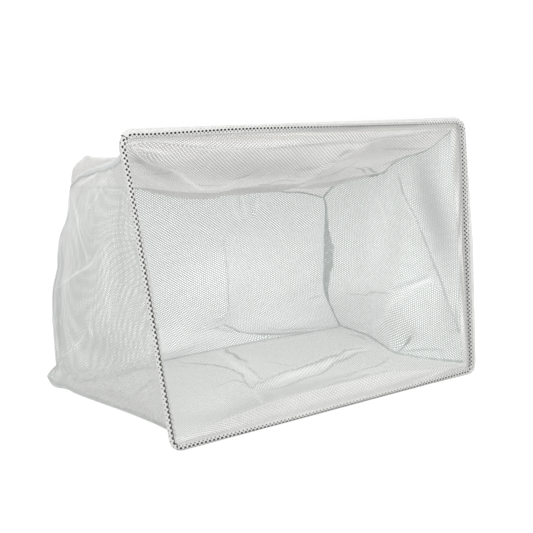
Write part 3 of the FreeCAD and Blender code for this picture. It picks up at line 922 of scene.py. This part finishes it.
def bendPoints(name, other, count=7):
    # from a corner's middle to where the bar towards the other corner begins
    here, there, radius = cornerAt(name), cornerAt(other), hemShape["bend"]
    ring = list(corners)
    place = ring.index(name)
    toA, toB = unitOf(cornerAt(ring[place - 1]) - here), unitOf(cornerAt(ring[(place + 1) % 4]) - here)
    half = math.acos(float(toA @ toB)) / 2
    centre = here + unitOf(toA + toB) * radius / math.sin(half)
    start = -unitOf(toA + toB)
    along = unitOf(there - here)
    end = unitOf(here + along * radius / math.tan(half) - centre)
    angle = math.acos(float(np.clip(start @ end, -1, 1)))
    turns = np.linspace(0, 1, count)[:, None]
    return centre + radius * (np.sin((1 - turns) * angle) * start + np.sin(turns * angle) * end) / math.sin(angle)


def hemPath(side):
    first, last = bars[side]
    begin, finish = bendPoints(first, last), bendPoints(last, first)[::-1]
    between = np.linspace(0, 1, steps(hemShape["span"]))[1:-1, None]
    straight = begin[-1] * (1 - between) + finish[0] * between
    return leaned(np.vstack([begin, straight, finish]))


def hemFrame(side, samples=200):
    # the rod's line, the stitched line behind it, and the directions back to it and square to both
    path = hemPath(side)
    length = np.concatenate([[0], np.cumsum(np.linalg.norm(np.diff(path, axis=0), axis=1))])
    tipLine = smoothLine(tips[side], samples)
    run, known = length / length[-1], np.linspace(0, 1, samples)
    tip = np.stack([np.interp(run, known, tipLine[:, k]) for k in range(3)], axis=1)
    heading = unitOf(np.gradient(path, axis=0))
    back = tip - path
    back = unitOf(back - heading * (back * heading).sum(axis=1, keepdims=True))
    return path, tip, length, back, np.cross(heading, back)


def overBar(values, run):
    # a value that changes smoothly from one end of a bar to the other
    return np.interp(run, np.linspace(0, 1, len(values)), values)


def rowsClosed(side, run, around):
    # how far the holes are closed at each point of a hem, from its place along and round the bar
    rowsAt = np.arange(-2, 3) * weaves["hemNet"]["tall"] / 2
    along = np.stack([overBar(row, run) for row in zip(*hems[side]["rows"])])
    return np.stack([np.interp(around[:, k], rowsAt, along[:, k]) for k in range(len(run))], axis=1)


def makeHem(side):
    path, tip, length, back, up = hemFrame(side)
    run = length / length[-1]
    outward = path - path.mean(axis=0) * [1, 0, 0] - leaned((0, 0, rodShape["slant"] / 2)) * [0, 1, 1]
    away = np.arctan2((outward * up).sum(axis=1), (outward * back).sum(axis=1))
    loose = overBar(hems[side]["loose"], run)
    lead = hemShape["lead"]
    layers = [path + (tip - path) * share + up * lift for share, lift in lead]
    stood = [run * 0] * len(lead)
    for turn in np.radians(np.arange(hemShape["firstTurn"], hemShape["lastTurn"] + 1, hemShape["turnStep"])):
        stood.append(loose * np.maximum(0, np.cos(turn - away)) ** hemShape["looseFall"])
        layers.append(path + (back * math.cos(turn) + up * math.sin(turn)) * (hemShape["snug"] + stood[-1])[:, None])
    layers += [path + (tip - path) * share - up * lift for share, lift in reversed(lead)]
    grid, stood = np.stack(layers, axis=0), np.stack(stood + [run * 0] * len(lead), axis=0)
    weave = weaveOf(grid)
    weave[..., 0] = length * weaves["hemNet"]["wide"] / hems[side]["period"]
    weave[..., 1] -= weave[len(layers) // 2, :, 1] + overBar(hems[side]["rowAt"], run)
    closed = rowsClosed(side, run, weave[..., 1])
    # painted light on the loose band, and painted light and shade on the strip and its part by the sleeve
    paintedShadings = np.clip(stood / hemShape["looseFull"], 0, 1) * hemShape["loosePaintedLight"]
    closed[[0, 1, -2, -1]], closed[[2, 3, -4, -3]] = hemShape["stripClosed"], hemShape["nearClosed"]
    paintedShadings[[0, 1, -2, -1]], paintedShadings[[2, 3, -4, -3]] = hems[side]["strip"], hems[side]["near"]
    grid[..., 2] = np.maximum(grid[..., 2], hemShape["floorGap"])
    piece = gridPiece(side + "Hem", grid, hemNet, weave, closed, paintedShadings)
    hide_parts("hem_" + side)
    length[-1] / 1000


stitching = {
    "length": 3.2, "gap": 1.1, "thread": 0.28, "sides": 6, "inset": 1.6, "lift": 0.55, "trim": 4,
    "profile": [(0.0, -0.35), (0.12, 0.10), (0.5, 0.32), (0.88, 0.10), (1.0, -0.35)],
}


def pointAt(place, walk, line):
    return np.array([np.interp(place, walk, line[:, k]) for k in range(3)])


def stitchRun(name, line, face, node=None):
    # a running stitch along a line of points, each stitch dipping into the cloth at its ends
    walk = np.concatenate([[0], np.cumsum(np.linalg.norm(np.diff(line, axis=0), axis=1))])
    pitch = stitching["length"] + stitching["gap"]
    starts = np.arange(pitch / 2, walk[-1] - pitch, pitch)
    shape, sides = stitching["profile"], stitching["sides"]
    turns = np.linspace(0, 2 * math.pi, sides, endpoint=False)
    points, faces = [], []
    for start in starts:
        first = len(points)
        for share, lift in shape:
            at = start + share * stitching["length"]
            normal = unitOf(pointAt(at, walk, face))
            ahead = unitOf(pointAt(at + 1, walk, line) - pointAt(at - 1, walk, line))
            aside = np.cross(ahead, normal) * stitching["thread"]
            for turn in turns:
                high = normal * (lift + stitching["thread"] * math.sin(turn))
                points.append(pointAt(at, walk, line) + high + aside * math.cos(turn))
        for ring in range(len(shape) - 1):
            for k in range(sides):
                a, b = first + ring * sides + k, first + ring * sides + (k + 1) % sides
                faces.append((a, b, b + sides, a + sides))
        faces.append(tuple(first + k for k in reversed(range(sides))))
        faces.append(tuple(first + (len(shape) - 1) * sides + k for k in range(sides)))
    mesh = bpy.data.meshes.new(name)
    mesh.from_pydata(inRow(points).tolist(), [], faces)
    mesh.polygons.foreach_set("use_smooth", [True] * len(mesh.polygons))
    mesh.materials.append(sewingThread)
    piece = bpy.data.objects.new(name, mesh)
    scene.collection.objects.link(piece)
    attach(piece, "root")
    if node:
        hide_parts(node)


def makeHemStitches(side):
    path, tip, length, back, up = hemFrame(side)
    inside = up if side in ("bottom", "right") else -up
    line = tip - back * stitching["inset"] + inside * stitching["lift"]
    middle = slice(stitching["trim"], -stitching["trim"])
    stitchRun(side + "HemStitches", line[middle], inside[middle], "hem_stitch_" + side)


for side in bars:
    makeHem(side)
    makeHemStitches(side)
print("hems made")


# Seams: the joined edges, turned and sewn down flat along one of the two panels

# Widths, how far the weave is closed and the painted light and shade on it are given evenly from one end of
# a seam to the other. The section goes from the panel's edge out along the flap and back over
# it, as shares of the width and heights above the panel.
seamStrips = {
    "top_left": {
        "panel": "left", "edge": "high", "wide": (4, 7, 6, 5, 4), "closed": (0.0, 0.0), "paintedShading": (0.8, 0.8, 0.6, 0.5),
    },
    "top_right": {
        "panel": "right", "edge": "high", "wide": (1.6, 1.6, 2, 2.2, 3, 3, 2.5),
        "closed": (-0.6, -0.5, -0.2, -0.1), "paintedShading": (0.3, 0.2, -0.1, -0.3, -0.3),
    },
    "bottom_left": {"panel": "left", "edge": "low", "wide": (4, 4), "closed": (-0.5, -0.5), "paintedShading": (0.2, 0.2)},
    "bottom_right": {
        "panel": "right", "edge": "low", "wide": (2.5, 2.5), "closed": (-0.5, -0.5), "paintedShading": (0.3, 0.3, 0.5, 0.5),
    },
    "back_top": {
        "panel": "back", "edge": "high", "wide": (2.2, 2.2),
        "closed": (-0.2, -0.1), "paintedShading": (0.3, 0.3, 0.2, 0.0, -0.2, -0.3),
    },
    "back_bottom": {
        "panel": "bottom", "edge": "high", "wide": (2.2, 2.2), "closed": (-0.1, -0.1), "paintedShading": (0.1, 0.0, -0.2, -0.3),
    },
    "back_left": {"panel": "left", "edge": "last", "wide": (3, 3), "closed": (-0.55, -0.55), "paintedShading": (0.2, 0.2)},
    "back_right": {
        "panel": "right", "edge": "last", "wide": (2.2, 2.2, 2.2, 7, 15, 13, 8, 3, 2.2),
        "closed": (-0.2, -0.3, -0.3, -0.1), "paintedShading": (0.1, 0.1, 0.1, 0.0),
    },
}
seamShape = {
    "section": [(0.0, 0.25), (0.2, 0.55), (0.6, 0.6), (1.0, 0.45), (1.0, 0.95), (0.6, 1.1), (0.2, 1.05), (0.0, 0.6)],
    "uneven": [(0.10, 23, 0), (0.07, 61, 2)], "rows": 8, "floorGap": 0.15, "bagMiddle": (5.0, 130.0, 105.0),
}


def edgeRows(grid, edge):
    # the points of a panel turned so that its first row is the edge
    turned = {"low": grid, "high": grid[::-1], "last": grid.transpose(1, 0, 2)[::-1]}
    return turned[edge]


def makeSeams(hung):
    for name, strip in seamStrips.items():
        rows = edgeRows(hung[strip["panel"]], strip["edge"])[:seamShape["rows"]]
        steppedIn = np.linalg.norm(np.diff(rows, axis=0), axis=2)
        depth = np.concatenate([[np.zeros(rows.shape[1])], np.cumsum(steppedIn, axis=0)])
        run = np.linspace(0, 1, rows.shape[1])
        waver = 1 + sum(size * np.sin(run * pace + phase) for size, pace, phase in seamShape["uneven"])
        wide = overBar(strip["wide"], run) * waver
        face = squareTo(np.stack([rows[0], rows[2], rows[4]], axis=0))[1]
        face *= np.sign(((rows[2] - seamShape["bagMiddle"]) * face).sum(axis=1, keepdims=True))
        layers = []
        for share, lift in seamShape["section"]:
            place = [pointAt(wide[k] * share, depth[:, k], rows[:, k]) for k in range(len(wide))]
            layers.append(np.array(place) + face * lift)
        grid = np.stack(layers, axis=0)
        grid[..., 2] = np.maximum(grid[..., 2], seamShape["floorGap"])
        closed, paintedShadings = overBar(strip["closed"], run), overBar(strip["paintedShading"], run)
        plain = name.replace("_", "")
        piece = gridPiece(plain + "Seam", grid, seamNet, weaveOf(grid), closed, paintedShadings)
        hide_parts("seam_" + name)
        stitchRun(plain + "SeamStitches", (grid[5] + grid[6]) / 2, face)
    print("seams made")


makeSeams(hungBag)


def dressNode(node, material):
    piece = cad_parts[node]
    piece.data.materials.clear()
    piece.data.materials.append(material)


dressNode("frame_rod", rodSteel)
dressNode("butt_weld", weldSteel)
